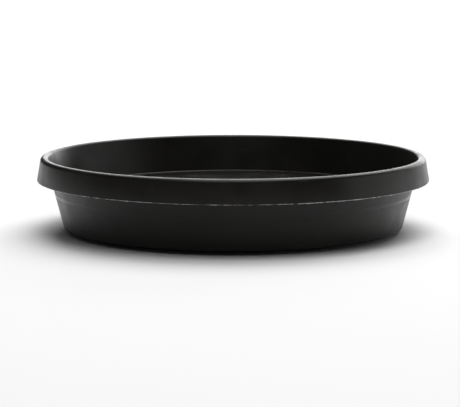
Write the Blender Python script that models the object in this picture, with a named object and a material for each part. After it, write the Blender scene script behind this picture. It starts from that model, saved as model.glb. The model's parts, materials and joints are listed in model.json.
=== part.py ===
"""A plant pot caddy: a round moulded tray on four twin-wheel casters that its skirt hides.

Metres, +Z up. The origin is on the tray's axis, on the ground that the wheels stand on.
The front of the tray faces -Y. Each caster trails towards +Y, as after a push forwards.
"""
import math

import bmesh
import bpy
from mathutils import Matrix, Vector

MM = 0.001

# Clearances
REST_GAP = 0.3 * MM            # between pieces that are fixed to each other
RUNNING_GAP = 0.25 * MM        # beside a face or a pin that turns
FENDER_GAP = 0.9 * MM          # around a wheel's tread
RIB_CLEARANCE = 1.5 * MM       # between the tray's ribs and a swivelling caster

# Wheels and axles
WHEEL_RADIUS = 14 * MM
WHEEL_WIDTH = 10.5 * MM
WHEEL_EDGE = 1.2 * MM          # rounding of the tread's edges
WHEEL_CAP = 2 * MM             # plastic over the axle's outer end
WHEEL_DISH = 1.2 * MM          # depth of the outer face's ring-shaped recess
WHEEL_HUB_WALL = 3.25 * MM     # around the axle's bore
WHEEL_TYRE = 3.4 * MM          # width of the rim around that recess
AXLE_RADIUS = 2 * MM
AXLE_CHAMFER = 0.4 * MM

# Caster hoods
WEB_MARGIN = 0.2 * MM          # of the middle part past the kingpin's boss, towards each wheel
HOOD_OVERHANG = 0.25 * MM      # of the fenders past the wheels' outer faces
FENDER_WALL = 1.6 * MM
FENDER_REAR_ANGLE = math.radians(35)
TRAIL = 10 * MM                # of the axle behind the kingpin
KINGPIN_BOSS_HEIGHT = 15.5 * MM
KINGPIN_BOSS_WALL = 2.5 * MM
AXLE_BOSS_WALL = 2.3 * MM
HOOD_FRONT_ROUND = 2.5 * MM

# Kingpins, clips and washers
KINGPIN_RADIUS = 3 * MM
KINGPIN_HEAD_OVERHANG = 2 * MM
KINGPIN_HEAD_HEIGHT = 1.1 * MM
KINGPIN_TAIL = 1.2 * MM        # below the clip's groove
GROOVE_DEPTH = 0.8 * MM
CLIP_THICKNESS = 0.8 * MM
CLIP_OVERHANG = 2 * MM         # past the kingpin's shank
CLIP_MOUTH_ANGLE = math.radians(70)
WASHER_WIDTH = 5.7 * MM        # from bore to edge
WASHER_THICKNESS = 0.8 * MM

# Caster plates and their screws
PLATE_SIDE = 38 * MM
PLATE_THICKNESS = 1.6 * MM
PLATE_CORNER = 4 * MM
SCREW_INSET = 5.5 * MM         # from a plate's edges to its screws
SCREW_RADIUS = 2 * MM
SCREW_HEAD_RADIUS = 3.6 * MM
SCREW_TIP = 1.5 * MM           # length of the pointed end
SCREW_SLOT_WIDTH = 0.9 * MM
SCREW_SLOT_LENGTH = 4 * MM
SCREW_SLOT_DEPTH = 1 * MM

# Tray
RIM_RADIUS = 203 * MM          # to the rim's lower outer edge, the widest part
RIM_DEPTH = 24 * MM            # from the crest down to that edge
RIM_DRAFT = 0.17               # how far the rim's outer face leans in, per height
RIM_WALL = 2.8 * MM
RIM_EDGE_ROUND = 0.6 * MM
CREST_WIDTH = 7 * MM           # of the rim's top, before its edges are rounded
CREST_THICKNESS = 3.5 * MM
CREST_OUTER_ROUND = 4.4 * MM
CREST_INNER_ROUND = 3.2 * MM
WELL_DEPTH = 38.5 * MM         # from the crest down to the floor that the pot stands on
SKIRT_CLEARANCE = 5 * MM       # between the skirt's lower edge and the ground
SKIRT_ROUND = 1.2 * MM
WALL = 2.8 * MM
WALL_TAPER = 0.26              # how far the wall leans in, per height
FLOOR_THICKNESS = 3 * MM
FLOOR_ROUND = 1.5 * MM         # between the floor and the wall, inside the well
FLOOR_UNDER_ROUND = 2 * MM     # and below the floor
FLOOR_SKIN = 1.2 * MM          # plastic left between a screw's hole and the floor's top
CHANNEL_ROUND = 0.8 * MM
PAD_THICKNESS = 2.8 * MM
PAD_MARGIN = 2 * MM            # of a pad around its caster plate
RIB_DEPTH = 9 * MM
RIB_THICKNESS = 2 * MM
INNER_RING_RADIUS = 40 * MM

# Casters' places
SKIRT_TO_CASTER = 18 * MM      # between the skirt's lower edge and a swivelling caster
CASTER_ANGLES = {"front_left": 225, "front_right": 315, "rear_left": 135, "rear_right": 45}

# Facets around each kind of round piece
TRAY_FACETS = 72
WHEEL_FACETS = 20
PIN_FACETS = 16
SCREW_FACETS = 10

# Heights above the ground, from the wheels up to the crest
FENDER_RADIUS = WHEEL_RADIUS + FENDER_GAP + FENDER_WALL
HOOD_TOP = WHEEL_RADIUS + FENDER_RADIUS
BOSS_BOTTOM = HOOD_TOP - KINGPIN_BOSS_HEIGHT
WASHER_BOTTOM = HOOD_TOP + RUNNING_GAP
PLATE_BOTTOM = WASHER_BOTTOM + WASHER_THICKNESS + RUNNING_GAP
PLATE_TOP = PLATE_BOTTOM + PLATE_THICKNESS
PAD_BOTTOM = PLATE_TOP + REST_GAP
FLOOR_BOTTOM = PAD_BOTTOM + PAD_THICKNESS
FLOOR_TOP = FLOOR_BOTTOM + FLOOR_THICKNESS
CREST = FLOOR_TOP + WELL_DEPTH
RIM_EDGE = CREST - RIM_DEPTH

# Radii around the pins
KINGPIN_BOSS_RADIUS = KINGPIN_RADIUS + RUNNING_GAP + KINGPIN_BOSS_WALL
KINGPIN_HEAD_RADIUS = KINGPIN_RADIUS + KINGPIN_HEAD_OVERHANG
CLIP_RADIUS = KINGPIN_RADIUS + CLIP_OVERHANG
AXLE_BOSS_RADIUS = AXLE_RADIUS + REST_GAP + AXLE_BOSS_WALL
WHEEL_HUB_RADIUS = AXLE_RADIUS + RUNNING_GAP + WHEEL_HUB_WALL

# Widths across a caster, along its axle
HOOD_WEB = 2 * (KINGPIN_BOSS_RADIUS + WEB_MARGIN)
WHEEL_INNER_FACE = HOOD_WEB / 2 + REST_GAP
WHEEL_OUTER_FACE = WHEEL_INNER_FACE + WHEEL_WIDTH
AXLE_HALF_LENGTH = WHEEL_OUTER_FACE - WHEEL_CAP - REST_GAP
HOOD_HALF_WIDTH = WHEEL_OUTER_FACE + HOOD_OVERHANG

# What a caster sweeps as it swivels
WHEEL_REACH = math.hypot(TRAIL + WHEEL_RADIUS, WHEEL_OUTER_FACE)
FENDER_REACH = math.hypot(TRAIL + FENDER_RADIUS * math.cos(FENDER_REAR_ANGLE), HOOD_HALF_WIDTH)
CASTER_REACH = max(WHEEL_REACH, FENDER_REACH)


def clear_scene():
    for thing in list(bpy.data.objects):
        bpy.data.objects.remove(thing)


def material(name, colour, roughness, metallic=0.0):
    made = bpy.data.materials.new(name)
    made.use_nodes = True
    shader = made.node_tree.nodes["Principled BSDF"]
    shader.inputs["Base Color"].default_value = (*colour, 1.0)
    shader.inputs["Roughness"].default_value = roughness
    shader.inputs["Metallic"].default_value = metallic
    return made


def arc(x, y, radius, start, end, steps):
    """Points along an arc about (x, y), from the start angle to the end angle."""
    angles = [start + (end - start) * step / steps for step in range(steps + 1)]
    return [(x + radius * math.cos(angle), y + radius * math.sin(angle)) for angle in angles]


def rounded(corners):
    """An outline through corners given as (x, y) or (x, y, radius, steps), with each arc's points."""
    outline = []
    for index, corner in enumerate(corners):
        here = Vector(corner[:2])
        if len(corner) == 2:
            outline.append(here)
            continue
        radius, steps = corner[2:]
        before = (Vector(corners[index - 1][:2]) - here).normalized()
        after = (Vector(corners[(index + 1) % len(corners)][:2]) - here).normalized()
        half_angle = before.angle(after) / 2
        centre = here + (before + after).normalized() * radius / math.sin(half_angle)
        touch = here + before * radius / math.tan(half_angle) - centre
        start = math.atan2(touch.y, touch.x)
        leave = here + after * radius / math.tan(half_angle) - centre
        sweep = math.remainder(math.atan2(leave.y, leave.x) - start, math.tau)
        outline += arc(centre.x, centre.y, radius, start, start + sweep, steps)
    return outline


def finished_mesh(name, shape):
    bmesh.ops.remove_doubles(shape, verts=shape.verts, dist=0.001 * MM)
    bmesh.ops.recalc_face_normals(shape, faces=shape.faces)
    mesh = bpy.data.meshes.new(name)
    shape.to_mesh(mesh)
    shape.free()
    return mesh


def turned(name, outline, facets):
    """A solid turned about Z. The outline is (radius, z) points; one that starts on Z also ends there."""
    shape = bmesh.new()
    points = [shape.verts.new((radius, 0, z)) for radius, z in outline]
    edges = [shape.edges.new(pair) for pair in zip(points, points[1:])]
    if outline[0][0] > 0:
        edges.append(shape.edges.new((points[-1], points[0])))
    bmesh.ops.spin(
        shape, geom=points + edges, cent=(0, 0, 0), axis=(0, 0, 1), angle=math.tau, steps=facets, use_merge=True
    )
    return finished_mesh(name, shape)


def extruded(name, outline, low, high):
    """A prism with an (x, y) outline, from z = low up to z = high."""
    shape = bmesh.new()
    face = shape.faces.new([shape.verts.new((x, y, low)) for x, y in outline])
    grown = bmesh.ops.extrude_face_region(shape, geom=[face])
    for item in grown["geom"]:
        if isinstance(item, bmesh.types.BMVert):
            item.co.z = high
    return finished_mesh(name, shape)


def cylinder(radius, low, high, facets):
    return turned("cylinder", [(0, low), (radius, low), (radius, high), (0, high)], facets)


def moved(mesh, x=0.0, y=0.0, z=0.0):
    mesh.transform(Matrix.Translation((x, y, z)))
    return mesh


def along_x(mesh):
    """The mesh with its Z turned to X, its X to Y and its Y to Z."""
    mesh.transform(Matrix(((0, 0, 1, 0), (1, 0, 0, 0), (0, 1, 0, 0), (0, 0, 0, 1))))
    return mesh


def combined(base, others, operation):
    """The base mesh united with, or cut by, other closed meshes, which may overlap one another."""
    body = bpy.data.objects.new("base", base)
    bpy.context.scene.collection.objects.link(body)
    tools = bpy.data.collections.new("tools")
    bpy.context.scene.collection.children.link(tools)
    for mesh in others:
        tools.objects.link(bpy.data.objects.new("tool", mesh))
    boolean = body.modifiers.new("boolean", "BOOLEAN")
    boolean.operation = operation
    boolean.operand_type = "COLLECTION"
    boolean.collection = tools
    boolean.solver = "EXACT"
    evaluated = body.evaluated_get(bpy.context.evaluated_depsgraph_get())
    result = bpy.data.meshes.new_from_object(evaluated)
    for thing in [body, *tools.objects]:
        bpy.data.objects.remove(thing)
    bpy.data.collections.remove(tools)
    result.name = base.name
    return result


def place(name, mesh, look, location=(0, 0, 0), parent=None):
    """One named piece in the scene. Pieces with the same mesh share its data."""
    piece = bpy.data.objects.new(name, mesh)
    bpy.context.scene.collection.objects.link(piece)
    piece.location = location
    piece.parent = parent
    if not mesh.materials:
        mesh.materials.append(look)
        mesh.shade_smooth()
        mesh.set_sharp_from_angle(angle=math.radians(35))
    return piece


def rim_radius(z):
    """Radius of the rim's outer face at a height."""
    return RIM_RADIUS - (z - RIM_EDGE) * RIM_DRAFT


def wall_radius(z):
    """Radius of the wall's outer face at a height, inside the rim's channel and down the skirt."""
    return rim_radius(CREST) - CREST_WIDTH + WALL - (CREST - z) * WALL_TAPER


def tray_outline():
    """The tray's section, from its axis along the floor, up and over the rim, and back underneath."""
    channel_top = CREST - CREST_THICKNESS
    well = [
        (0, FLOOR_TOP),
        (wall_radius(FLOOR_TOP) - WALL, FLOOR_TOP, FLOOR_ROUND, 2),
        (wall_radius(CREST) - WALL, CREST, CREST_INNER_ROUND, 2),
    ]
    rim = [
        (rim_radius(CREST), CREST, CREST_OUTER_ROUND, 3),
        (RIM_RADIUS, RIM_EDGE, RIM_EDGE_ROUND, 1),
        (RIM_RADIUS - RIM_WALL, RIM_EDGE, RIM_EDGE_ROUND, 1),
        (rim_radius(channel_top) - RIM_WALL, channel_top, CHANNEL_ROUND, 1),
        (wall_radius(channel_top), channel_top, CHANNEL_ROUND, 1),
    ]
    skirt = [
        (wall_radius(SKIRT_CLEARANCE), SKIRT_CLEARANCE, SKIRT_ROUND, 2),
        (wall_radius(SKIRT_CLEARANCE) - WALL, SKIRT_CLEARANCE, SKIRT_ROUND, 2),
        (wall_radius(FLOOR_BOTTOM) - WALL, FLOOR_BOTTOM, FLOOR_UNDER_ROUND, 2),
        (0, FLOOR_BOTTOM),
    ]
    return rounded(well + rim + skirt)


def radial_rib(angle, start, end):
    """A rib under the floor, from one radius to another, or to the skirt if the end is None."""
    low, high = FLOOR_BOTTOM - RIB_DEPTH, FLOOR_BOTTOM + FLOOR_THICKNESS / 2
    ends = [end or wall_radius(z) - WALL / 2 for z in (low, high)]
    outline = [(start, low), (ends[0], low), (ends[1], high), (start, high)]
    rib = extruded("rib", outline, -RIB_THICKNESS / 2, RIB_THICKNESS / 2)
    rib.transform(Matrix.Rotation(math.radians(angle), 4, "Z") @ Matrix.Rotation(math.pi / 2, 4, "X"))
    for vertex in rib.vertices:  # exactly level with the rings, which the turning alone would not keep
        vertex.co.z = low if vertex.co.z < FLOOR_BOTTOM else high
    return rib


def ring_rib(radius):
    """A round rib under the floor, around the tray's axis."""
    low, high = FLOOR_BOTTOM - RIB_DEPTH, FLOOR_BOTTOM + FLOOR_THICKNESS / 2
    inner, outer = radius - RIB_THICKNESS / 2, radius + RIB_THICKNESS / 2
    return turned("ring", [(inner, low), (outer, low), (outer, high), (inner, high)], TRAY_FACETS // 2)


def caster_circle():
    """Radius from the tray's axis to the kingpins."""
    return wall_radius(SKIRT_CLEARANCE) - WALL - SKIRT_TO_CASTER - CASTER_REACH


def ribs():
    """Ribs between the casters run out to the skirt, and those in line with a caster stop short of it."""
    outer_ring = caster_circle() - CASTER_REACH - RIB_CLEARANCE - RIB_THICKNESS / 2
    made = [ring_rib(INNER_RING_RADIUS), ring_rib(outer_ring)]
    for quarter in (0, 90, 180, 270):
        made += [radial_rib(quarter + step, INNER_RING_RADIUS, None) for step in (0, 22.5, 67.5)]
        made.append(radial_rib(quarter + 45, INNER_RING_RADIUS, outer_ring))
    return made


def caster_centres():
    for name, angle in CASTER_ANGLES.items():
        turn = math.radians(angle)
        yield name, caster_circle() * math.cos(turn), caster_circle() * math.sin(turn)


def screw_places():
    """The four screws of a plate, from its kingpin."""
    reach = PLATE_SIDE / 2 - SCREW_INSET
    return [(-reach, -reach), (reach, -reach), (reach, reach), (-reach, reach)]


def square_outline(half, corner):
    return rounded([(x * half, y * half, corner, 3) for x, y in ((-1, -1), (1, -1), (1, 1), (-1, 1))])


def pad():
    """A thickening of the floor that a caster plate is screwed to."""
    outline = square_outline(PLATE_SIDE / 2 + PAD_MARGIN, PLATE_CORNER + PAD_MARGIN)
    return extruded("pad", outline, PAD_BOTTOM, FLOOR_BOTTOM + FLOOR_THICKNESS / 2)


def pad_holes():
    """A pocket for the kingpin's head and blind holes for the screws, cut up into a pad."""
    below = PAD_BOTTOM - REST_GAP
    pocket_top = PLATE_TOP + REST_GAP + KINGPIN_HEAD_HEIGHT + REST_GAP
    holes = [cylinder(KINGPIN_HEAD_RADIUS + REST_GAP, below, pocket_top, PIN_FACETS)]
    for x, y in screw_places():
        hole = cylinder(SCREW_RADIUS + REST_GAP, below, FLOOR_TOP - FLOOR_SKIN, SCREW_FACETS)
        holes.append(moved(hole, x, y))
    return holes


def tray_mesh():
    """The whole moulding: floor, wall, hollow rim, skirt, and the ribs and pads under the floor."""
    additions, holes = ribs(), []
    for _, x, y in caster_centres():
        additions.append(moved(pad(), x, y))
        holes += [moved(hole, x, y) for hole in pad_holes()]
    shell = turned("tray", tray_outline(), TRAY_FACETS)
    return combined(combined(shell, additions, "UNION"), holes, "DIFFERENCE")


def plate_mesh():
    """A steel plate with a bore for the kingpin and four holes countersunk from below."""
    plate = extruded("caster_plate", square_outline(PLATE_SIDE / 2, PLATE_CORNER), PLATE_BOTTOM, PLATE_TOP)
    below, above = PLATE_BOTTOM - REST_GAP, PLATE_TOP + REST_GAP
    holes = [cylinder(KINGPIN_RADIUS + REST_GAP, below, above, PIN_FACETS)]
    wide, narrow = SCREW_HEAD_RADIUS + REST_GAP, SCREW_RADIUS + REST_GAP
    outline = [(0, below), (wide, below), (wide, PLATE_BOTTOM), (narrow, PLATE_TOP), (narrow, above), (0, above)]
    holes += [moved(turned("countersink", outline, SCREW_FACETS), x, y) for x, y in screw_places()]
    return combined(plate, holes, "DIFFERENCE")


def screw_mesh():
    """A countersunk self-tapping screw, head down and flush with the plate, with a crossed recess."""
    tip = FLOOR_TOP - FLOOR_SKIN - REST_GAP
    outline = [
        (0, PLATE_BOTTOM),
        (SCREW_HEAD_RADIUS, PLATE_BOTTOM),
        (SCREW_RADIUS, PLATE_TOP),
        (SCREW_RADIUS, tip - SCREW_TIP),
        (0, tip),
    ]
    half_length, half_width = SCREW_SLOT_LENGTH / 2, SCREW_SLOT_WIDTH / 2
    slots = []
    for half_x, half_y in ((half_length, half_width), (half_width, half_length)):
        corners = [(-half_x, -half_y), (half_x, -half_y), (half_x, half_y), (-half_x, half_y)]
        slots.append(extruded("slot", corners, PLATE_BOTTOM - REST_GAP, PLATE_BOTTOM + SCREW_SLOT_DEPTH))
    return combined(turned("plate_screw", outline, SCREW_FACETS), slots, "DIFFERENCE")


def groove_heights():
    """Bottom and top of the kingpin's groove, with the clip between them just under the hood's boss."""
    top = BOSS_BOTTOM
    return top - CLIP_THICKNESS - 2 * REST_GAP, top


def kingpin_mesh():
    """A headed steel pin down through plate, washer and hood, grooved for its clip."""
    head_bottom = PLATE_TOP + REST_GAP
    head_top = head_bottom + KINGPIN_HEAD_HEIGHT
    groove_bottom, groove_top = groove_heights()
    root = KINGPIN_RADIUS - GROOVE_DEPTH
    end = groove_bottom - KINGPIN_TAIL
    outline = [
        (0, head_top),
        (KINGPIN_HEAD_RADIUS, head_top),
        (KINGPIN_HEAD_RADIUS, head_bottom),
        (KINGPIN_RADIUS, head_bottom),
        (KINGPIN_RADIUS, groove_top),
        (root, groove_top),
        (root, groove_bottom),
        (KINGPIN_RADIUS, groove_bottom),
        (KINGPIN_RADIUS, end + AXLE_CHAMFER),
        (KINGPIN_RADIUS - AXLE_CHAMFER, end),
        (0, end),
    ]
    return turned("kingpin", outline, PIN_FACETS)


def clip_mesh():
    """An open ring sprung into the kingpin's groove, with its mouth towards the trailing side."""
    groove_bottom, _ = groove_heights()
    inner = KINGPIN_RADIUS - GROOVE_DEPTH + REST_GAP
    start, end = CLIP_MOUTH_ANGLE / 2, math.tau - CLIP_MOUTH_ANGLE / 2
    outline = arc(0, 0, CLIP_RADIUS, start, end, PIN_FACETS) + arc(0, 0, inner, end, start, PIN_FACETS)
    clip = extruded("retaining_clip", outline, groove_bottom + REST_GAP, groove_bottom + REST_GAP + CLIP_THICKNESS)
    clip.transform(Matrix.Rotation(math.pi / 2, 4, "Z"))
    return clip


def washer_mesh():
    """A plain nylon washer that the hood turns against."""
    inner, top = KINGPIN_RADIUS + REST_GAP, WASHER_BOTTOM + WASHER_THICKNESS
    outer = inner + WASHER_WIDTH
    outline = [(inner, WASHER_BOTTOM), (outer, WASHER_BOTTOM), (outer, top), (inner, top)]
    return turned("swivel_washer", outline, PIN_FACETS)


def hood_outline():
    """The hood from its side, as (y, z): behind and over the wheels, down the front, under both bosses."""
    rear = arc(TRAIL, WHEEL_RADIUS, FENDER_RADIUS, FENDER_REAR_ANGLE, math.pi / 2, 6)
    front = -(KINGPIN_BOSS_RADIUS + FENDER_WALL / 2)
    lip = WHEEL_RADIUS + AXLE_BOSS_RADIUS
    nose = rounded([(TRAIL, HOOD_TOP), (front, HOOD_TOP, HOOD_FRONT_ROUND, 3), (front, lip)])[1:]
    bosses = [(-KINGPIN_BOSS_RADIUS, BOSS_BOTTOM), (KINGPIN_BOSS_RADIUS, BOSS_BOTTOM)]
    meets_boss = math.pi - math.asin(min(1, (BOSS_BOTTOM - WHEEL_RADIUS) / AXLE_BOSS_RADIUS))
    under_axle = arc(TRAIL, WHEEL_RADIUS, AXLE_BOSS_RADIUS, meets_boss, math.tau, 8)
    inner = FENDER_RADIUS - FENDER_WALL
    tip = (TRAIL + inner * math.cos(FENDER_REAR_ANGLE), WHEEL_RADIUS + inner * math.sin(FENDER_REAR_ANGLE))
    return rear + nose + bosses + under_axle + [tip]


def hood_mesh():
    """Fenders over both wheels, a web between them, and bores for the kingpin and the axle."""
    blank = extruded("caster_hood", hood_outline(), -HOOD_HALF_WIDTH, HOOD_HALF_WIDTH)
    inner = FENDER_RADIUS - FENDER_WALL
    cuts = [cylinder(AXLE_RADIUS + REST_GAP, -HOOD_WEB, HOOD_WEB, PIN_FACETS)]
    cuts.append(cylinder(inner, HOOD_WEB / 2, HOOD_HALF_WIDTH + REST_GAP, 2 * WHEEL_FACETS))
    cuts.append(cylinder(inner, -HOOD_HALF_WIDTH - REST_GAP, -HOOD_WEB / 2, 2 * WHEEL_FACETS))
    cuts = [moved(along_x(cut), 0, TRAIL, WHEEL_RADIUS) for cut in cuts]
    cuts.append(cylinder(KINGPIN_RADIUS + RUNNING_GAP, 0, HOOD_TOP + REST_GAP, PIN_FACETS))
    return combined(along_x(blank), cuts, "DIFFERENCE")


def axle_mesh():
    """A steel pin along X, through the hood and into both wheels, centred on its own middle."""
    flat, chamfered = AXLE_HALF_LENGTH - AXLE_CHAMFER, AXLE_RADIUS - AXLE_CHAMFER
    outline = [
        (0, -AXLE_HALF_LENGTH),
        (chamfered, -AXLE_HALF_LENGTH),
        (AXLE_RADIUS, -flat),
        (AXLE_RADIUS, flat),
        (chamfered, AXLE_HALF_LENGTH),
        (0, AXLE_HALF_LENGTH),
    ]
    return along_x(turned("axle", outline, PIN_FACETS))


def wheel_mesh():
    """The wheel on the +X side, about the axle, with a blind bore and a dished outer face."""
    bore, bore_end = AXLE_RADIUS + RUNNING_GAP, WHEEL_OUTER_FACE - WHEEL_CAP
    dish, dish_outer = WHEEL_OUTER_FACE - WHEEL_DISH, WHEEL_RADIUS - WHEEL_TYRE
    outline = rounded([
        (0, bore_end),
        (bore, bore_end),
        (bore, WHEEL_INNER_FACE),
        (WHEEL_RADIUS, WHEEL_INNER_FACE, WHEEL_EDGE, 1),
        (WHEEL_RADIUS, WHEEL_OUTER_FACE, WHEEL_EDGE, 1),
        (dish_outer, WHEEL_OUTER_FACE),
        (dish_outer - WHEEL_DISH, dish),
        (WHEEL_HUB_RADIUS + WHEEL_DISH, dish),
        (WHEEL_HUB_RADIUS, WHEEL_OUTER_FACE),
        (0, WHEEL_OUTER_FACE),
    ])
    return along_x(turned("wheel", outline, WHEEL_FACETS))


def mirrored(mesh, name):
    """A copy of the mesh on the -X side."""
    copy = mesh.copy()
    copy.name = name
    copy.transform(Matrix.Scale(-1, 4, (1, 0, 0)))
    copy.flip_normals()
    return copy


def build():
    clear_scene()
    tray_plastic = material("tray_plastic", (0.012, 0.011, 0.012), 0.42)
    hood_plastic = material("hood_plastic", (0.02, 0.02, 0.021), 0.5)
    wheel_plastic = material("wheel_plastic", (0.045, 0.045, 0.047), 0.55)
    washer_nylon = material("washer_nylon", (0.72, 0.7, 0.64), 0.45)
    plate_steel = material("plate_steel", (0.62, 0.63, 0.65), 0.35, 1.0)
    pin_steel = material("pin_steel", (0.55, 0.55, 0.56), 0.3, 1.0)
    screw_steel = material("screw_steel", (0.66, 0.66, 0.63), 0.32, 1.0)
    clip_steel = material("clip_steel", (0.3, 0.3, 0.31), 0.4, 1.0)

    tray = place("tray", tray_mesh(), tray_plastic)
    plate, screw, pin = plate_mesh(), screw_mesh(), kingpin_mesh()
    clip, washer, hood, axle = clip_mesh(), washer_mesh(), hood_mesh(), axle_mesh()
    wheel_right = wheel_mesh()
    wheel_left = mirrored(wheel_right, "wheel_left")

    for name, x, y in caster_centres():
        place(f"{name}_caster_plate", plate, plate_steel, (x, y, 0), tray)
        for number, (screw_x, screw_y) in enumerate(screw_places(), 1):
            place(f"{name}_plate_screw_{number}", screw, screw_steel, (x + screw_x, y + screw_y, 0), tray)
        place(f"{name}_kingpin", pin, pin_steel, (x, y, 0), tray)
        place(f"{name}_retaining_clip", clip, clip_steel, (x, y, 0), tray)
        place(f"{name}_swivel_washer", washer, washer_nylon, (x, y, 0), tray)
        swivel = place(f"{name}_caster_hood", hood, hood_plastic, (x, y, 0), tray)
        on_axle = (0, TRAIL, WHEEL_RADIUS)
        place(f"{name}_axle", axle, pin_steel, on_axle, swivel)
        place(f"{name}_wheel_left", wheel_left, wheel_plastic, on_axle, swivel)
        place(f"{name}_wheel_right", wheel_right, wheel_plastic, on_axle, swivel)


build()
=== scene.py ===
"""The looks of the plant pot caddy: its satin black tray, its four casters, a pale floor and soft light.

Metres, +Z up, with the front of the tray towards -Y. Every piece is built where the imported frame
has it, and rides on its body.
"""
import json
import math

import bmesh
import bpy
from mathutils import Matrix, Vector, noise

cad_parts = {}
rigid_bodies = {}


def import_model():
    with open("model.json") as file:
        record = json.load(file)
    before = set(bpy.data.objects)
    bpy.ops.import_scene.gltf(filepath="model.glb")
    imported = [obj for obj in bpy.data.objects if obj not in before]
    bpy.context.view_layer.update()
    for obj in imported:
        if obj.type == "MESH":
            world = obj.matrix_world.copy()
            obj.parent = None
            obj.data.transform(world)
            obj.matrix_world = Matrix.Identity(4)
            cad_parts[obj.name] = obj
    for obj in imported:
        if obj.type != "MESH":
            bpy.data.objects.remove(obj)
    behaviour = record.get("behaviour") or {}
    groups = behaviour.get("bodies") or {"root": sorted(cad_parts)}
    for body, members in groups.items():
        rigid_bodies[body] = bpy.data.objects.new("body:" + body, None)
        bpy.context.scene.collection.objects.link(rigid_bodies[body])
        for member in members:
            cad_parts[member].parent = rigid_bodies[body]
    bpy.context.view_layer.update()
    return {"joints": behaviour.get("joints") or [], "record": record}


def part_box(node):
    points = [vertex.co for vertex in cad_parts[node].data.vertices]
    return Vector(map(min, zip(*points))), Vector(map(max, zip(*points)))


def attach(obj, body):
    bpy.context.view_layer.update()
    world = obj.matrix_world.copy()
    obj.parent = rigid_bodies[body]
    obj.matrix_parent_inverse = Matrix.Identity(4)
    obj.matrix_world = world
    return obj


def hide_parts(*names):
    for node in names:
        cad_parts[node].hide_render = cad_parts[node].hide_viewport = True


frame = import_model()

MM = 0.001
REST_GAP = 0.3 * MM            # between pieces that are fixed to each other
RUNNING_GAP = 0.25 * MM        # around a pin that turns

# Places and sizes that the frame gives
JOINTS = {joint["name"]: Vector(joint["pos_m"]) for joint in frame["joints"]}
CASTERS = [name.removesuffix("_swivel") for name in JOINTS if name.endswith("_swivel")]
FIRST = CASTERS[0]
SWIVEL = JOINTS[f"{FIRST}_swivel"]
AXLE = JOINTS[f"{FIRST}_wheel_left_spin"]


def from_swivel(node):
    """The lowest and highest corners of one of the first caster's nodes, with x and y from its swivel."""
    return [corner - Vector((SWIVEL.x, SWIVEL.y, 0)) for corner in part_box(f"{FIRST}_{node}")]


TRAY_LOW, TRAY_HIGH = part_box("tray")
RIM_RADIUS = TRAY_HIGH.x
CREST = TRAY_HIGH.z
SKIRT_EDGE = TRAY_LOW.z
FLOOR_TOP = next(mount["pos_m"][2] for mount in frame["record"]["mounts"] if mount["name"] == "pot_floor")
CASTER_CIRCLE = math.hypot(SWIVEL.x, SWIVEL.y)
PLATE_LOW, PLATE_HIGH = from_swivel("caster_plate")
HOOD_HIGH = from_swivel("caster_hood")[1]
WHEEL_LOW, WHEEL_HIGH = from_swivel("wheel_right")
WASHER_LOW, WASHER_HIGH = from_swivel("swivel_washer")
KINGPIN_LOW, KINGPIN_HIGH = from_swivel("kingpin")
CLIP_LOW, CLIP_HIGH = from_swivel("retaining_clip")
SCREW_LOW, SCREW_HIGH = from_swivel("plate_screw_1")
AXLE_HIGH = from_swivel("axle")[1]
TRAIL = (AXLE - SWIVEL).y
AXLE_HEIGHT = AXLE.z
WHEEL_RADIUS = WHEEL_HIGH.z - AXLE_HEIGHT
SCREW_HEAD_RADIUS = (SCREW_HIGH.x - SCREW_LOW.x) / 2

# The tray's section, as moulded
RIM_DEPTH = 24 * MM
RIM_DRAFT = 0.17
RIM_WALL = 2.8 * MM
RIM_EDGE_ROUND = 0.35 * MM
CREST_WIDTH = 7 * MM
CREST_THICKNESS = 3.5 * MM
CREST_OUTER_ROUND = 4.4 * MM
CREST_INNER_ROUND = 3.2 * MM
WALL = 2.8 * MM
WALL_TAPER = 0.26
FLOOR_THICKNESS = 3 * MM
FLOOR_ROUND = 1.5 * MM
FLOOR_UNDER_ROUND = 2 * MM
FLOOR_SKIN = 1.2 * MM
CHANNEL_ROUND = 0.8 * MM
SKIRT_ROUND = 1.2 * MM
RIM_EDGE = CREST - RIM_DEPTH
FLOOR_BOTTOM = FLOOR_TOP - FLOOR_THICKNESS
GATE_RADIUS = 2.5 * MM         # the mark where the plastic entered the mould
GATE_HEIGHT = 0.5 * MM
FLASH_HEIGHT = 0.7 * MM        # the thin ragged fin that the mould left along the rim's lower edge
FLASH_LEAST = 0.1              # its lowest parts, as a share of that height
FLASH_ROOT = 0.5 * MM          # how thick it is at its root
FLASH_STEPS = 1440

# Ribs and pads under the floor
RIB_DEPTH = 9 * MM
RIB_THICKNESS = 2 * MM
RIB_EDGE_ROUND = 0.6 * MM
RIB_FLARE = 0.15 * MM          # how much thicker each side is at the floor, so that the rib leaves its mould
RIB_CLEARANCE = 1.5 * MM
INNER_RING_RADIUS = 40 * MM
QUARTERS = (0, 90, 180, 270)   # where the pattern of ribs starts again, in degrees
LONG_RIBS = (0, 22.5, 67.5)    # from each of those, the ribs that run out to the skirt
SHORT_RIB = 45                 # and the one in line with a caster
PAD_MARGIN = 2 * MM
PLATE_CORNER = 4 * MM
SCREW_INSET = 5.5 * MM

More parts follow.
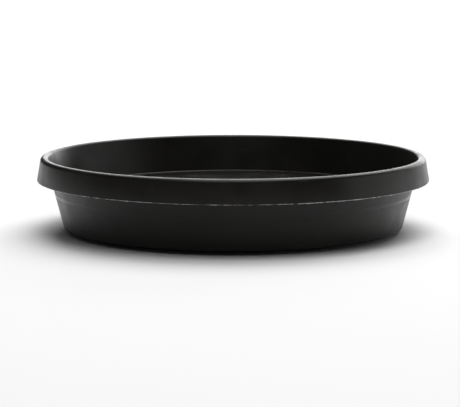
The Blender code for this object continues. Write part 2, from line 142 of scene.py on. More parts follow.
# Casters
HOOD_WALL = 1.6 * MM
FENDER_REAR_ANGLE = math.radians(35)
KINGPIN_BOSS_HEIGHT = 15.5 * MM
HOOD_FRONT_ROUND = 2.5 * MM
BOSS_WALL = 2.5 * MM
AXLE_BOSS_WALL = 2.3 * MM
WEB_MARGIN = 0.2 * MM
AXLE_RADIUS = AXLE_HIGH.z - AXLE_HEIGHT
KINGPIN_RADIUS = 3 * MM
KINGPIN_HEAD_HEIGHT = 1.1 * MM
GROOVE_DEPTH = 0.8 * MM
PIN_CHAMFER = 0.4 * MM
CLIP_MOUTH_ANGLE = math.radians(70)
WHEEL_CAP = 2 * MM
WHEEL_DISH = 1.2 * MM
WHEEL_HUB_WALL = 3.25 * MM
WHEEL_TYRE = 3.4 * MM
WHEEL_EDGE = 1.2 * MM
SCREW_RADIUS = 2 * MM
SCREW_TIP = 1.5 * MM
RECESS_LENGTH = 4 * MM
RECESS_WIDTH = 0.9 * MM
RECESS_DEPTH = 1 * MM

# Softened edges, and facets around each kind of round piece
SHARP_ANGLE = 35               # in degrees: flatter edges than this are shaded smooth
HOOD_SOFTENING = 0.18 * MM
PLATE_SOFTENING = 0.2 * MM
SCREW_SOFTENING = 0.08 * MM
CLIP_SOFTENING = 0.12 * MM
TRAY_FACETS = 288
RING_FACETS = 144
WHEEL_FACETS = 96
PIN_FACETS = 48
SCREW_FACETS = 32


# Mesh making

def arc(x, y, radius, start, end, steps):
    """Points along an arc about (x, y), from the start angle to the end angle."""
    angles = [start + (end - start) * step / steps for step in range(steps + 1)]
    return [(x + radius * math.cos(angle), y + radius * math.sin(angle)) for angle in angles]


def rounded(corners):
    """An outline through corners given as (x, y) or (x, y, radius, steps), with each arc's points."""
    outline = []
    for index, corner in enumerate(corners):
        here = Vector(corner[:2])
        if len(corner) == 2:
            outline.append(tuple(here))
            continue
        radius, steps = corner[2:]
        before = (Vector(corners[index - 1][:2]) - here).normalized()
        after = (Vector(corners[(index + 1) % len(corners)][:2]) - here).normalized()
        half_angle = before.angle(after) / 2
        centre = here + (before + after).normalized() * radius / math.sin(half_angle)
        touch = here + before * radius / math.tan(half_angle) - centre
        leave = here + after * radius / math.tan(half_angle) - centre
        start = math.atan2(touch.y, touch.x)
        sweep = math.remainder(math.atan2(leave.y, leave.x) - start, math.tau)
        outline += arc(centre.x, centre.y, radius, start, start + sweep, steps)
    return outline


def finished_mesh(name, shape):
    bmesh.ops.remove_doubles(shape, verts=shape.verts, dist=0.001 * MM)
    bmesh.ops.recalc_face_normals(shape, faces=shape.faces)
    mesh = bpy.data.meshes.new(name)
    shape.to_mesh(mesh)
    shape.free()
    return mesh


def turned(name, outline, facets):
    """A solid turned about Z. The outline is (radius, z) points; one that starts on Z also ends there."""
    shape = bmesh.new()
    points = [shape.verts.new((radius, 0, z)) for radius, z in outline]
    edges = [shape.edges.new(pair) for pair in zip(points, points[1:])]
    if outline[0][0] > 0:
        edges.append(shape.edges.new((points[-1], points[0])))
    about_z = {"cent": (0, 0, 0), "axis": (0, 0, 1), "angle": math.tau}
    bmesh.ops.spin(shape, geom=points + edges, steps=facets, use_merge=True, **about_z)
    return finished_mesh(name, shape)


def extruded(name, outline, low, high):
    """A prism with an (x, y) outline, from z = low up to z = high."""
    shape = bmesh.new()
    face = shape.faces.new([shape.verts.new((x, y, low)) for x, y in outline])
    grown = bmesh.ops.extrude_face_region(shape, geom=[face])
    raised = [item for item in grown["geom"] if isinstance(item, bmesh.types.BMVert)]
    bmesh.ops.translate(shape, verts=raised, vec=(0, 0, high - low))
    return finished_mesh(name, shape)


def cylinder(radius, low, high, facets):
    return turned("cylinder", [(0, low), (radius, low), (radius, high), (0, high)], facets)


def shifted(mesh, x=0.0, y=0.0, z=0.0):
    mesh.transform(Matrix.Translation((x, y, z)))
    return mesh


def along_x(mesh):
    """The mesh with its Z turned to X, its X to Y and its Y to Z."""
    mesh.transform(Matrix(((0, 0, 1, 0), (1, 0, 0, 0), (0, 1, 0, 0), (0, 0, 0, 1))))
    return mesh


def result_of(body):
    """What an object's modifiers make of its mesh. The object is removed."""
    evaluated = body.evaluated_get(bpy.context.evaluated_depsgraph_get())
    mesh = bpy.data.meshes.new_from_object(evaluated)
    mesh.name = body.data.name
    bpy.data.objects.remove(body)
    return mesh


def combined(base, others, operation):
    """The base mesh united with, or cut by, other closed meshes, which may overlap one another."""
    body = bpy.data.objects.new("base", base)
    bpy.context.scene.collection.objects.link(body)
    tools = bpy.data.collections.new("tools")
    bpy.context.scene.collection.children.link(tools)
    for mesh in others:
        tools.objects.link(bpy.data.objects.new("tool", mesh))
    boolean = body.modifiers.new("boolean", "BOOLEAN")
    boolean.operation = operation
    boolean.operand_type = "COLLECTION"
    boolean.collection = tools
    boolean.solver = "EXACT"
    result = result_of(body)
    for tool in list(tools.objects):
        bpy.data.objects.remove(tool)
    bpy.data.collections.remove(tools)
    return result


def smooth_shaded(mesh, sharp_angle=SHARP_ANGLE):
    mesh.shade_smooth()
    mesh.set_sharp_from_angle(angle=math.radians(sharp_angle))
    return mesh


def softened(mesh, width):
    """The mesh with its sharp edges rounded over."""
    body = bpy.data.objects.new("softened", smooth_shaded(mesh))
    bpy.context.scene.collection.objects.link(body)
    bevel = body.modifiers.new("bevel", "BEVEL")
    bevel.limit_method = "ANGLE"
    bevel.angle_limit = math.radians(SHARP_ANGLE)
    bevel.width = width
    bevel.segments = 2
    bevel.harden_normals = True
    return result_of(body)


# Material making

class Nodes:
    """A Principled material, with short ways to add texture nodes to it."""

    def __init__(self, name, **values):
        self.material = bpy.data.materials.new(name)
        self.material.use_nodes = True
        self.tree = self.material.node_tree
        self.shader = self.tree.nodes["Principled BSDF"]
        for socket, value in values.items():
            self.shader.inputs[socket.replace("_", " ")].default_value = value
        self.place = self.tree.nodes.new("ShaderNodeTexCoord").outputs["Object"]

    def add(self, kind, links, **settings):
        """A new node, with its settings, and its inputs set to values or linked to other nodes' outputs."""
        node = self.tree.nodes.new("ShaderNode" + kind)
        for name, value in settings.items():
            setattr(node, name, value)
        for socket, value in links.items():
            if isinstance(value, bpy.types.NodeSocket):
                self.tree.links.new(value, node.inputs[socket])
            else:
                node.inputs[socket].default_value = value
        return node

    def math(self, operation, *values):
        return self.add("Math", dict(enumerate(values)), operation=operation).outputs[0]

    def noise(self, size, detail=2.0, stretch=None):
        """Noise with features of about a size in metres, drawn out by a stretch along each axis."""
        place = self.place
        if stretch:
            mapped = {"Vector": place, "Scale": tuple(1 / amount for amount in stretch)}
            place = self.add("Mapping", mapped).outputs["Vector"]
        links = {"Vector": place, "Scale": 1 / size, "Detail": detail}
        return self.add("TexNoise", links).outputs["Fac"]

    def between(self, value, low, high, to_low=0.0, to_high=1.0):
        """The value's range from low to high, stretched smoothly to another range and held at its ends."""
        links = {"Value": value, "From Min": low, "From Max": high, "To Min": to_low, "To Max": to_high}
        return self.add("MapRange", links, interpolation_type="SMOOTHSTEP").outputs["Result"]

    def near(self, point, radius):
        """1 close to a point, and 0 from a radius away."""
        away = self.add("VectorMath", {0: self.place, 1: point}, operation="DISTANCE").outputs["Value"]
        return self.between(away, radius * 0.4, radius, 1.0, 0.0)

    def mix(self, share, first, second):
        mixed = self.add("Mix", {"Factor": share}, data_type="RGBA")
        for socket, value in ((mixed.inputs[6], first), (mixed.inputs[7], second)):
            if isinstance(value, bpy.types.NodeSocket):
                self.tree.links.new(value, socket)
            else:
                socket.default_value = (*value, 1.0)
        return mixed.outputs[2]

    def bump(self, height, depth, below=None):
        """Relief of a depth in metres, over another relief's normal where one is given."""
        links = {"Height": height, "Distance": depth, "Strength": 1.0}
        if below:
            links["Normal"] = below
        return self.add("Bump", links).outputs["Normal"]

    def into(self, **sockets):
        for name, value in sockets.items():
            self.tree.links.new(value, self.shader.inputs[name.replace("_", " ")])
        return self.material


# Colours, as linear red, green and blue
TRAY_BLACK = (0.0042, 0.0036, 0.0028)
TRAY_DUSTY = (0.0080, 0.0072, 0.0060)
# lighter grey of the level scuff streaks: partly wear, partly a painted sheen
SCUFF_AND_SHEEN_GREY = (0.045, 0.042, 0.040)
FLASH_BLACK = (0.03, 0.03, 0.03)
# pale grey of the rim's flash: partly stress whitening, partly a painted highlight
FLASH_PALE_AND_HIGHLIGHT_GREY = (0.44, 0.43, 0.42)
HOOD_BLACK = (0.018, 0.018, 0.019)
HOOD_DUSTY = (0.034, 0.033, 0.033)
WHEEL_DARK = (0.030, 0.030, 0.032)
WHEEL_DUSTY = (0.048, 0.047, 0.047)
TREAD_GREY = (0.105, 0.1, 0.094)
NYLON = (0.72, 0.7, 0.64)
NYLON_GREASY = (0.46, 0.42, 0.33)
PLATE_STEEL = ((0.66, 0.67, 0.69), (0.5, 0.51, 0.53))
PIN_STEEL = ((0.58, 0.58, 0.6), (0.44, 0.44, 0.45))
SCREW_STEEL = ((0.7, 0.7, 0.67), (0.55, 0.55, 0.52))
CLIP_STEEL = ((0.16, 0.16, 0.17), (0.09, 0.09, 0.095))
FLOOR_WHITE = (0.76, 0.76, 0.76)
WORLD_GREY = (0.05, 0.05, 0.05)

PIP_ANGLE = math.radians(-23)  # of the moulding pip on the rim, from the front
PIP_HEIGHT = RIM_EDGE + 13 * MM
PIP_SIZE = 3.2 * MM
ALONG_SCUFFS_AND_SHEEN = (14, 14, 1)     # how far the scuff streaks, lighter grey with a painted sheen, are drawn out along each axis


def tray_plastic():
    """Satin black polypropylene, fine-grained, a little dusty, with specks and faint level scuffs painted
    lighter grey: partly wear, partly a painted sheen.
    """
    n = Nodes("tray_plastic_looks", Roughness=0.36, IOR=1.34)
    patches = n.between(n.noise(60 * MM, 3.0), 0.35, 0.7)
    # level streaks painted lighter grey: scuff wear with a painted sheen in them
    scuff_and_sheen_streaks = n.between(n.noise(3 * MM, 2.0, ALONG_SCUFFS_AND_SHEEN), 0.66, 0.8)
    scuffs_and_sheen = n.math("MULTIPLY", scuff_and_sheen_streaks, n.between(n.noise(45 * MM), 0.5, 0.66))
    specks = n.between(n.noise(2.2 * MM, 1.0), 0.76, 0.82)
    pip_place = (RIM_RADIUS * math.sin(PIP_ANGLE), -RIM_RADIUS * math.cos(PIP_ANGLE), PIP_HEIGHT)
    pip = n.near(pip_place, PIP_SIZE)
    # marks that lighten the colour and roughen the surface, the scuffs' painted sheen among them
    marks_and_sheen = n.math("MAXIMUM", n.math("MULTIPLY", scuffs_and_sheen, 0.4), n.math("MULTIPLY", specks, 0.35))
    marks_and_sheen = n.math("MAXIMUM", marks_and_sheen, n.math("MULTIPLY", pip, 0.2))
    colour = n.mix(marks_and_sheen, n.mix(patches, TRAY_BLACK, TRAY_DUSTY), SCUFF_AND_SHEEN_GREY)
    roughness = n.between(n.noise(25 * MM, 3.0), 0.3, 0.7, 0.31, 0.40)
    roughness = n.math("ADD", roughness, n.math("MULTIPLY", marks_and_sheen, 0.2))
    height = n.add("SeparateXYZ", {"Vector": n.place}).outputs["Z"]
    from_floor = n.math("ABSOLUTE", n.math("SUBTRACT", height, FLOOR_TOP))
    polished = n.between(from_floor, 0.8 * MM, 2 * MM, 1.0, 0.0)
    roughness = n.math("SUBTRACT", roughness, n.math("MULTIPLY", polished, 0.12))
    swell = n.bump(n.noise(9 * MM, 1.0), 0.01 * MM)
    grain = n.bump(n.noise(0.6 * MM, 2.0), 0.006 * MM, swell)
    return n.into(Base_Color=colour, Roughness=roughness, Normal=grain)


def flash_plastic():
    """The same plastic where it is torn thin, painted pale grey in some stretches: partly stress whitening,
    partly a painted highlight for the light the thin fin catches.
    """
    n = Nodes("flash_plastic_looks", Roughness=0.6, IOR=1.45)
    # stretches painted pale grey: stress whitening and a painted highlight along the fin
    whitening_and_highlight = n.between(n.noise(9 * MM, 3.0), 0.3, 0.56)
    relief = n.bump(n.noise(0.5 * MM), 0.03 * MM)
    return n.into(Base_Color=n.mix(whitening_and_highlight, FLASH_BLACK, FLASH_PALE_AND_HIGHLIGHT_GREY), Normal=relief)


def hood_plastic():
    """Moulded black nylon with an even texture and some dust in it."""
    n = Nodes("hood_plastic_looks", IOR=1.5)
    colour = n.mix(n.between(n.noise(6 * MM, 4.0), 0.35, 0.75), HOOD_BLACK, HOOD_DUSTY)
    rough = n.between(n.noise(3 * MM, 3.0), 0.3, 0.7, 0.42, 0.58)
    return n.into(Base_Color=colour, Roughness=rough, Normal=n.bump(n.noise(0.5 * MM, 2.0), 0.03 * MM))


def wheel_plastic():
    """Charcoal plastic, scratched and greyed around the tread where it has rolled."""
    n = Nodes("wheel_plastic_looks", IOR=1.48)
    place = n.add("SeparateXYZ", {"Vector": n.place})
    squares = [n.math("POWER", place.outputs[axis], 2.0) for axis in "YZ"]
    from_axle = n.math("POWER", n.math("ADD", *squares), 0.5)
    tread = n.between(from_axle, WHEEL_RADIUS - 0.9 * MM, WHEEL_RADIUS - 0.2 * MM)
    rings = n.noise(0.8 * MM, 2.0, (1, 6, 6))
    worn = n.math("MULTIPLY", tread, n.between(rings, 0.35, 0.65, 0.25, 1.0))
    colour = n.mix(n.between(n.noise(5 * MM, 4.0), 0.35, 0.75), WHEEL_DARK, WHEEL_DUSTY)
    colour = n.mix(worn, colour, TREAD_GREY)
    rough = n.math("ADD", n.between(rings, 0.3, 0.7, 0.4, 0.52), n.math("MULTIPLY", worn, 0.25))
    relief = n.bump(rings, 0.02 * MM, n.bump(n.noise(0.4 * MM), 0.012 * MM))
    return n.into(Base_Color=colour, Roughness=rough, Normal=relief)


def steel(name, colours, roughness, stretch=(1, 1, 1)):
    """Steel, bright to dull in a cloudy spangle, with fine scratches drawn out by a stretch."""
    n = Nodes(name, Metallic=1.0)
    cloud = n.between(n.noise(4 * MM, 4.0), 0.3, 0.7)
    lines = n.noise(0.35 * MM, 2.0, stretch)
    rough = n.between(cloud, 0.0, 1.0, roughness, roughness + 0.12)
    rough = n.math("ADD", rough, n.math("MULTIPLY", lines, 0.12))
    return n.into(Base_Color=n.mix(cloud, *colours), Roughness=rough, Normal=n.bump(lines, 0.008 * MM))


def washer_nylon():
    """Natural nylon, slightly translucent, with grease smears."""
    n = Nodes("washer_nylon_looks", Subsurface_Weight=0.15, Subsurface_Scale=0.6 * MM, IOR=1.5)
    smear = n.between(n.noise(2.5 * MM, 3.0), 0.45, 0.7)
    colour = n.mix(smear, NYLON, NYLON_GREASY)
    rough = n.between(smear, 0.0, 1.0, 0.5, 0.28)
    return n.into(Base_Color=colour, Roughness=rough, Normal=n.bump(n.noise(0.5 * MM), 0.01 * MM))


# The tray

def rim_radius(z):
    """Radius of the rim's outer face at a height."""
    return RIM_RADIUS - (z - RIM_EDGE) * RIM_DRAFT


def wall_radius(z):
    """Radius of the wall's outer face at a height."""
    return rim_radius(CREST) - CREST_WIDTH + WALL - (CREST - z) * WALL_TAPER


def tray_outline():
    """The tray's section, from its axis along the floor, over the rim, and back to the mould's gate."""
    channel_top = CREST - CREST_THICKNESS
    return rounded([
        (0, FLOOR_TOP),
        (wall_radius(FLOOR_TOP) - WALL, FLOOR_TOP, FLOOR_ROUND, 8),
        (wall_radius(CREST) - WALL, CREST, CREST_INNER_ROUND, 10),
        (rim_radius(CREST), CREST, CREST_OUTER_ROUND, 14),
        (RIM_RADIUS, RIM_EDGE, RIM_EDGE_ROUND, 4),
        (RIM_RADIUS - RIM_WALL, RIM_EDGE, 2 * RIM_EDGE_ROUND, 4),
        (rim_radius(channel_top) - RIM_WALL, channel_top, CHANNEL_ROUND, 4),
        (wall_radius(channel_top), channel_top, CHANNEL_ROUND, 4),
        (wall_radius(SKIRT_EDGE), SKIRT_EDGE, SKIRT_ROUND, 6),
        (wall_radius(SKIRT_EDGE) - WALL, SKIRT_EDGE, SKIRT_ROUND, 6),
        (wall_radius(FLOOR_BOTTOM) - WALL, FLOOR_BOTTOM, FLOOR_UNDER_ROUND, 5),
        (GATE_RADIUS, FLOOR_BOTTOM, GATE_HEIGHT / 2, 3),
        (GATE_RADIUS - GATE_HEIGHT / 2, FLOOR_BOTTOM - GATE_HEIGHT, GATE_HEIGHT / 3, 3),
        (0, FLOOR_BOTTOM - GATE_HEIGHT),
    ])


def rib_section(middle):
    """A rib's section across its length, as (across, z), with a drafted thickness and rounded lower edges."""
    low, high = FLOOR_BOTTOM - RIB_DEPTH, FLOOR_BOTTOM + FLOOR_THICKNESS / 2
    at_edge, at_floor = RIB_THICKNESS / 2, RIB_THICKNESS / 2 + RIB_FLARE
    return rounded([
        (middle - at_floor, high),
        (middle - at_edge, low, RIB_EDGE_ROUND, 4),
        (middle + at_edge, low, RIB_EDGE_ROUND, 4),
        (middle + at_floor, high),
    ])


def radial_rib(angle, start, end):
    """A rib under the floor, from one radius to another, or to the skirt if the end is None."""
    shape = bmesh.new()
    near = [shape.verts.new((start, across, z)) for across, z in rib_section(0)]
    far = [shape.verts.new((end or wall_radius(z) - WALL / 2, across, z)) for across, z in rib_section(0)]
    shape.faces.new(near)
    shape.faces.new(far[::-1])
    for index in range(len(near)):
        shape.faces.new((near[index - 1], near[index], far[index], far[index - 1]))
    rib = finished_mesh("rib", shape)
    rib.transform(Matrix.Rotation(math.radians(angle), 4, "Z"))
    return rib


def caster_reach():
    """How far from its swivel a caster reaches: a wheel's rear outer edge, or the rear of the hood."""
    return max(math.hypot(corner.x, corner.y) for corner in (WHEEL_HIGH, HOOD_HIGH))


def ribs():
    """Ribs between the casters run out to the skirt, and those in line with a caster stop short of it."""
    outer_ring = CASTER_CIRCLE - caster_reach() - RIB_CLEARANCE - RIB_THICKNESS / 2
    made = [turned("ring", rib_section(radius), RING_FACETS) for radius in (INNER_RING_RADIUS, outer_ring)]
    for quarter in QUARTERS:
        made += [radial_rib(quarter + step, INNER_RING_RADIUS, None) for step in LONG_RIBS]
        made.append(radial_rib(quarter + SHORT_RIB, INNER_RING_RADIUS, outer_ring))
    return made


def screw_places():
    """The four screws of a plate, from its kingpin, in the order of their numbers."""
    reach = PLATE_HIGH.x - SCREW_INSET
    return [(-reach, -reach), (reach, -reach), (reach, reach), (-reach, reach)]


def square_outline(half, corner):
    return rounded([(x * half, y * half, corner, 8) for x, y in ((-1, -1), (1, -1), (1, 1), (-1, 1))])


def pad_and_holes():
    """A thickening that a caster plate is screwed to, and the pocket and holes cut up into it."""
    bottom = PLATE_HIGH.z + REST_GAP
    outline = square_outline(PLATE_HIGH.x + PAD_MARGIN, PLATE_CORNER + PAD_MARGIN)
    pad = extruded("pad", outline, bottom, FLOOR_BOTTOM + FLOOR_THICKNESS / 2)
    below = bottom - REST_GAP
    holes = [cylinder(KINGPIN_HIGH.x + REST_GAP, below, KINGPIN_HIGH.z + REST_GAP, PIN_FACETS)]
    for x, y in screw_places():
        hole = cylinder(SCREW_RADIUS + REST_GAP, below, FLOOR_TOP - FLOOR_SKIN, SCREW_FACETS)
        holes.append(shifted(hole, x, y))
    return pad, holes


def tray_mesh():
    additions, cuts = ribs(), []
    for name in CASTERS:
        place = JOINTS[f"{name}_swivel"]
        pad, holes = pad_and_holes()
        additions.append(shifted(pad, place.x, place.y))
        cuts += [shifted(hole, place.x, place.y) for hole in holes]
    shell = turned("tray_detail", tray_outline(), TRAY_FACETS)
    return smooth_shaded(combined(combined(shell, additions, "UNION"), cuts, "DIFFERENCE"))


def flash_mesh():
    """A thin closed fin under the rim's lower outer edge, ragged, and almost nothing in places."""
    shape = bmesh.new()
    rings = []
    root_radius = RIM_RADIUS - RIM_EDGE_ROUND - FLASH_ROOT / 2
    for step in range(FLASH_STEPS):
        angle = math.tau * step / FLASH_STEPS
        around = Vector((math.cos(angle), math.sin(angle), 0))
        long_wave = noise.noise(around * 9 + Vector((3.1, 0, 0)))
        short_wave = noise.noise(around * 70)
        share = 0.4 + 0.16 * math.cos(angle) + 0.5 * long_wave + 0.4 * short_wave
        height = FLASH_HEIGHT * min(1, max(FLASH_LEAST, share))
        tip = root_radius + FLASH_ROOT * (0.45 + 0.2 * short_wave)
        section = [
            (root_radius, RIM_EDGE + FLASH_ROOT / 2),
            (root_radius, RIM_EDGE - 0.02 * MM),
            (tip, RIM_EDGE - height),
            (root_radius + FLASH_ROOT, RIM_EDGE + FLASH_ROOT / 2),
        ]
        rings.append([shape.verts.new(around * radius + Vector((0, 0, z))) for radius, z in section])
    for this, following in zip(rings, rings[1:] + rings[:1]):
        for corner in range(len(this)):
            shape.faces.new((this[corner - 1], this[corner], following[corner], following[corner - 1]))
    return smooth_shaded(finished_mesh("rim_flash", shape), 50)


# The casters, each made about its own swivel

def hood_outline():
    """The hood from its side, as (y, z): behind and over the wheels, down the front, under both bosses."""
    top = HOOD_HIGH.z
    axle_boss = AXLE_RADIUS + REST_GAP + AXLE_BOSS_WALL
    fender = top - AXLE_HEIGHT
    boss = KINGPIN_RADIUS + RUNNING_GAP + BOSS_WALL
    boss_bottom = top - KINGPIN_BOSS_HEIGHT
    rear = arc(TRAIL, AXLE_HEIGHT, fender, FENDER_REAR_ANGLE, math.pi / 2, 24)
    front = -(boss + HOOD_WALL / 2)
    nose = rounded([(TRAIL, top), (front, top, HOOD_FRONT_ROUND, 8), (front, AXLE_HEIGHT + axle_boss)])[1:]
    bosses = [(-boss, boss_bottom), (boss, boss_bottom)]
    meets_boss = math.pi - math.asin(min(1, (boss_bottom - AXLE_HEIGHT) / axle_boss))
    under_axle = arc(TRAIL, AXLE_HEIGHT, axle_boss, meets_boss, math.tau, 24)
    inner = fender - HOOD_WALL
    inner_rear = arc(TRAIL, AXLE_HEIGHT, inner, FENDER_REAR_ANGLE, math.pi / 2, 1)[0]
    return rear + nose + bosses + under_axle + [inner_rear]


def hood_mesh():
    """Fenders over both wheels, a web between them, and bores for the kingpin and the axle."""
    half_web = KINGPIN_RADIUS + RUNNING_GAP + BOSS_WALL + WEB_MARGIN
    half_width = HOOD_HIGH.x
    blank = extruded("hood_detail", hood_outline(), -half_width, half_width)
    inner = HOOD_HIGH.z - AXLE_HEIGHT - HOOD_WALL
    cuts = [cylinder(AXLE_RADIUS + REST_GAP, -2 * half_web, 2 * half_web, PIN_FACETS)]
    cuts.append(cylinder(inner, half_web, half_width + REST_GAP, 2 * WHEEL_FACETS))
    cuts.append(cylinder(inner, -half_width - REST_GAP, -half_web, 2 * WHEEL_FACETS))
    cuts = [shifted(along_x(cut), 0, TRAIL, AXLE_HEIGHT) for cut in cuts]
    cuts.append(cylinder(KINGPIN_RADIUS + RUNNING_GAP, 0, HOOD_HIGH.z + REST_GAP, PIN_FACETS))
    return softened(combined(along_x(blank), cuts, "DIFFERENCE"), HOOD_SOFTENING)


def wheel_mesh():
    """The wheel on the +X side, about its axle, with a blind bore and a dished outer face."""
    inner, outer = WHEEL_LOW.x, WHEEL_HIGH.x
    bore, bore_end = AXLE_RADIUS + RUNNING_GAP, outer - WHEEL_CAP
    hub, dish_outer = bore + WHEEL_HUB_WALL, WHEEL_RADIUS - WHEEL_TYRE
    outline = rounded([
        (0, bore_end),
        (bore, bore_end, 0.3 * MM, 3),
        (bore, inner, 0.3 * MM, 3),
        (WHEEL_RADIUS, inner, WHEEL_EDGE, 8),
        (WHEEL_RADIUS, outer, WHEEL_EDGE, 8),
        (dish_outer, outer, 0.3 * MM, 4),
        (dish_outer - WHEEL_DISH, outer - WHEEL_DISH, 0.4 * MM, 4),
        (hub + WHEEL_DISH, outer - WHEEL_DISH, 0.4 * MM, 4),
        (hub, outer, 0.3 * MM, 4),
        (0, outer),
    ])
    return smooth_shaded(along_x(turned("wheel_detail", outline, WHEEL_FACETS)))


def mirrored(mesh):
    """A copy of the mesh on the -X side."""
    copy = mesh.copy()
    copy.transform(Matrix.Scale(-1, 4, (1, 0, 0)))
    copy.flip_normals()
    return smooth_shaded(copy)


def plate_mesh():
    """A pressed steel plate with a bore for the kingpin and four holes countersunk from below."""
    bottom, top = PLATE_LOW.z, PLATE_HIGH.z
    plate = extruded("plate_detail", square_outline(PLATE_HIGH.x, PLATE_CORNER), bottom, top)
    below, above = bottom - REST_GAP, top + REST_GAP
    holes = [cylinder(KINGPIN_RADIUS + REST_GAP, below, above, PIN_FACETS)]
    wide, narrow = SCREW_HEAD_RADIUS + REST_GAP, SCREW_RADIUS + REST_GAP
    outline = [(0, below), (wide, below), (wide, bottom), (narrow, top), (narrow, above), (0, above)]
    holes += [shifted(turned("countersink", outline, SCREW_FACETS), x, y) for x, y in screw_places()]
    return softened(combined(plate, holes, "DIFFERENCE"), PLATE_SOFTENING)


def screw_mesh():
    """A countersunk self-tapping screw, head down and flush with the plate, with a crossed recess."""
    tip = SCREW_HIGH.z
    outline = rounded([
        (0, PLATE_LOW.z),
        (SCREW_HEAD_RADIUS, PLATE_LOW.z, 0.2 * MM, 3),
        (SCREW_RADIUS, PLATE_HIGH.z),
        (SCREW_RADIUS, tip - SCREW_TIP),
        (0, tip),
    ])
    slots = []
    for half_x, half_y in ((RECESS_LENGTH / 2, RECESS_WIDTH / 2), (RECESS_WIDTH / 2, RECESS_LENGTH / 2)):
        corners = [(-half_x, -half_y), (half_x, -half_y), (half_x, half_y), (-half_x, half_y)]
        slots.append(extruded("slot", corners, PLATE_LOW.z - REST_GAP, PLATE_LOW.z + RECESS_DEPTH))
    blank = turned("screw_detail", outline, SCREW_FACETS)
    return softened(combined(blank, slots, "DIFFERENCE"), SCREW_SOFTENING)


def kingpin_mesh():
    """A headed steel pin down through plate, washer and hood, grooved for its clip."""
    head_top, head = KINGPIN_HIGH.z, KINGPIN_HIGH.x
    root = KINGPIN_RADIUS - GROOVE_DEPTH
    end = KINGPIN_LOW.z
    outline = rounded([
        (0, head_top),
        (head, head_top, PIN_CHAMFER, 4),
        (head, head_top - KINGPIN_HEAD_HEIGHT, PIN_CHAMFER / 4, 2),
        (KINGPIN_RADIUS, head_top - KINGPIN_HEAD_HEIGHT),
        (KINGPIN_RADIUS, CLIP_HIGH.z + REST_GAP),
        (root, CLIP_HIGH.z + REST_GAP),
        (root, CLIP_LOW.z - REST_GAP),
        (KINGPIN_RADIUS, CLIP_LOW.z - REST_GAP),
        (KINGPIN_RADIUS, end + PIN_CHAMFER),
        (KINGPIN_RADIUS - PIN_CHAMFER, end, PIN_CHAMFER / 4, 2),
        (0, end),
    ])
    return smooth_shaded(turned("kingpin_detail", outline, PIN_FACETS))


def clip_mesh():
    """An open ring sprung into the kingpin's groove, with its mouth towards the trailing side."""
    inner, outer = KINGPIN_RADIUS - GROOVE_DEPTH + REST_GAP, CLIP_HIGH.x
    start, end = CLIP_MOUTH_ANGLE / 2, math.tau - CLIP_MOUTH_ANGLE / 2
    outline = arc(0, 0, outer, start, end, PIN_FACETS) + arc(0, 0, inner, end, start, PIN_FACETS)
    clip = extruded("clip_detail", outline, CLIP_LOW.z, CLIP_HIGH.z)
    clip.transform(Matrix.Rotation(math.pi / 2, 4, "Z"))
    return softened(clip, CLIP_SOFTENING)


def washer_mesh():
    """A plain nylon washer that the hood turns against."""
    inner, outer = KINGPIN_RADIUS + REST_GAP, WASHER_HIGH.x
    low, high = WASHER_LOW.z, WASHER_HIGH.z
    corners = ((inner, low), (outer, low), (outer, high), (inner, high))
    outline = rounded([(radius, z, 0.2 * MM, 3) for radius, z in corners])
    return smooth_shaded(turned("washer_detail", outline, PIN_FACETS))


def axle_mesh():
    """A steel pin along X, through the hood and into both wheels, about its own middle."""
    half = AXLE_HIGH.x
    outline = rounded([
        (0, -half),
        (AXLE_RADIUS, -half, PIN_CHAMFER, 4),
        (AXLE_RADIUS, half, PIN_CHAMFER, 4),
        (0, half),
    ])
    return smooth_shaded(along_x(turned("axle_detail", outline, PIN_FACETS)))


# Putting it together

def piece(node, mesh, look, body, location=(0, 0, 0)):
    """A detailed piece that stands for one CAD node and moves with its body."""
    made = bpy.data.objects.new(f"{node}_detail", mesh)
    bpy.context.scene.collection.objects.link(made)
    made.location = location
    if not mesh.materials:
        mesh.materials.append(look)
    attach(made, body)
    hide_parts(node)
    return made


def build_tray():
    piece("tray", tray_mesh(), tray_plastic(), "tray")
    flash = bpy.data.objects.new("rim_flash", flash_mesh())
    bpy.context.scene.collection.objects.link(flash)
    flash.data.materials.append(flash_plastic())
    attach(flash, "tray")


def build_casters():
    hood_look, wheel_look, washer_look = hood_plastic(), wheel_plastic(), washer_nylon()
    plate_look = steel("plate_steel_looks", PLATE_STEEL, 0.24, (9, 1, 1))
    pin_look = steel("pin_steel_looks", PIN_STEEL, 0.22, (1, 1, 8))
    screw_look = steel("screw_steel_looks", SCREW_STEEL, 0.24)
    clip_look = steel("clip_steel_looks", CLIP_STEEL, 0.32)
    plate, screw, kingpin, clip = plate_mesh(), screw_mesh(), kingpin_mesh(), clip_mesh()
    washer, hood, axle, wheel = washer_mesh(), hood_mesh(), axle_mesh(), wheel_mesh()
    wheels = {"left": mirrored(wheel), "right": wheel}
    for name in CASTERS:
        x, y, _ = JOINTS[f"{name}_swivel"]
        caster = f"{name}_caster"
        piece(f"{name}_caster_plate", plate, plate_look, "tray", (x, y, 0))
        for number, (screw_x, screw_y) in enumerate(screw_places(), 1):
            place = (x + screw_x, y + screw_y, 0)
            piece(f"{name}_plate_screw_{number}", screw, screw_look, "tray", place)
        piece(f"{name}_kingpin", kingpin, pin_look, "tray", (x, y, 0))
        piece(f"{name}_retaining_clip", clip, clip_look, "tray", (x, y, 0))
        piece(f"{name}_swivel_washer", washer, washer_look, "tray", (x, y, 0))
        piece(f"{name}_caster_hood", hood, hood_look, caster, (x, y, 0))
        on_axle = (x, y + TRAIL, AXLE_HEIGHT)
        piece(f"{name}_axle", axle, pin_look, caster, on_axle)
        for side, mesh in wheels.items():
            node = f"{name}_wheel_{side}"
            piece(node, mesh, wheel_look, node, on_axle)


# The studio

FLOOR_HALF_SIDE = 30
CAMERA_DISTANCE = 2.5
CAMERA_ELEVATION = math.radians(7.55)
CAMERA_LENS = 188.4
CAMERA_SENSOR = 36
CAMERA_AIM = Vector((-3.2 * MM, 0, -14.0 * MM))  # from the middle of the tray

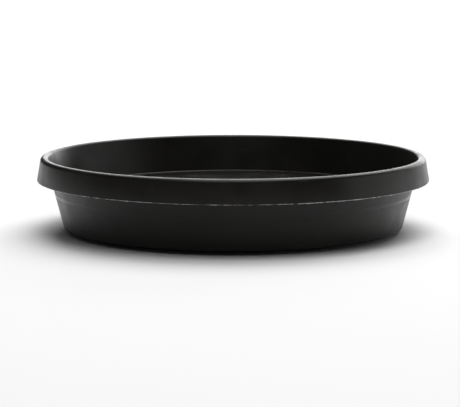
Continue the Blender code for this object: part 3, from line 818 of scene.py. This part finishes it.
# Each soft light's place, what it points at, its width, its height and its radiance
SOFTBOXES = {
    "top_back": ((0.7, 3.2, 5.0), (0, 0, 0), 6.5, 4.4, 4.4),
    "overhead": ((0.5, -0.8, 5.4), (0, 0, 0), 4.5, 3.0, 3.2),
    "backdrop": ((1.9, 7.0, 1.8), (0, 0, 0.9), 7, 3.4, 3.2),
    "front_top": ((-0.6, -3.6, 5.0), (0, 0, 0), 5.0, 2.4, 1.1),
    "front_card": ((0, -6.0, 1.1), (0, 0, 0.1), 12, 2.0, 0.12),
    "left_card": ((-4.0, 0.0, 0.9), (0, 0, 0.1), 5.0, 1.6, 0.05),
    "right_side": ((3.0, 0.2, 0.7), (0, 0, 0.1), 3.0, 1.4, 0.85),
}


def build_floor():
    shape = bmesh.new()
    bmesh.ops.create_grid(shape, x_segments=1, y_segments=1, size=FLOOR_HALF_SIDE)
    mesh = finished_mesh("studio_floor", shape)
    n = Nodes("pale_floor", Base_Color=(*FLOOR_WHITE, 1), Roughness=0.9, Specular_IOR_Level=0.0)
    mesh.materials.append(n.material)
    floor = bpy.data.objects.new("studio_floor", mesh)
    bpy.context.scene.collection.objects.link(floor)


def softbox(name, location, target, width, height, radiance):
    """A soft rectangular light of an even radiance, which the camera doesn't see."""
    data = bpy.data.lights.new(name, "AREA")
    data.shape = "RECTANGLE"
    data.size, data.size_y = width, height
    data.energy = radiance * math.pi * width * height
    light = bpy.data.objects.new(name, data)
    bpy.context.scene.collection.objects.link(light)
    light.location = location
    light.rotation_euler = (Vector(target) - Vector(location)).to_track_quat("-Z", "Y").to_euler()
    light.visible_camera = False


def build_lights():
    scene = bpy.context.scene
    scene.view_settings.view_transform = "Standard"
    world = bpy.data.worlds.new("studio")
    scene.world = world
    world.use_nodes = True
    world.node_tree.nodes["Background"].inputs["Color"].default_value = (*WORLD_GREY, 1)
    for name, settings in SOFTBOXES.items():
        softbox(name, *settings)


def build_camera():
    """The camera in front of the tray and a little above it."""
    scene = bpy.context.scene
    middle = Vector((0, 0, (SKIRT_EDGE + CREST) / 2))
    back = Vector((0, -math.cos(CAMERA_ELEVATION), math.sin(CAMERA_ELEVATION)))
    data = bpy.data.cameras.new("camera")
    data.lens = CAMERA_LENS
    data.sensor_width = CAMERA_SENSOR
    camera = bpy.data.objects.new("camera", data)
    scene.collection.objects.link(camera)
    camera.location = middle + back * CAMERA_DISTANCE
    camera.rotation_euler = (middle + CAMERA_AIM - camera.location).to_track_quat("-Z", "Y").to_euler()
    scene.camera = camera


build_tray()
build_casters()
build_floor()
build_lights()
build_camera()
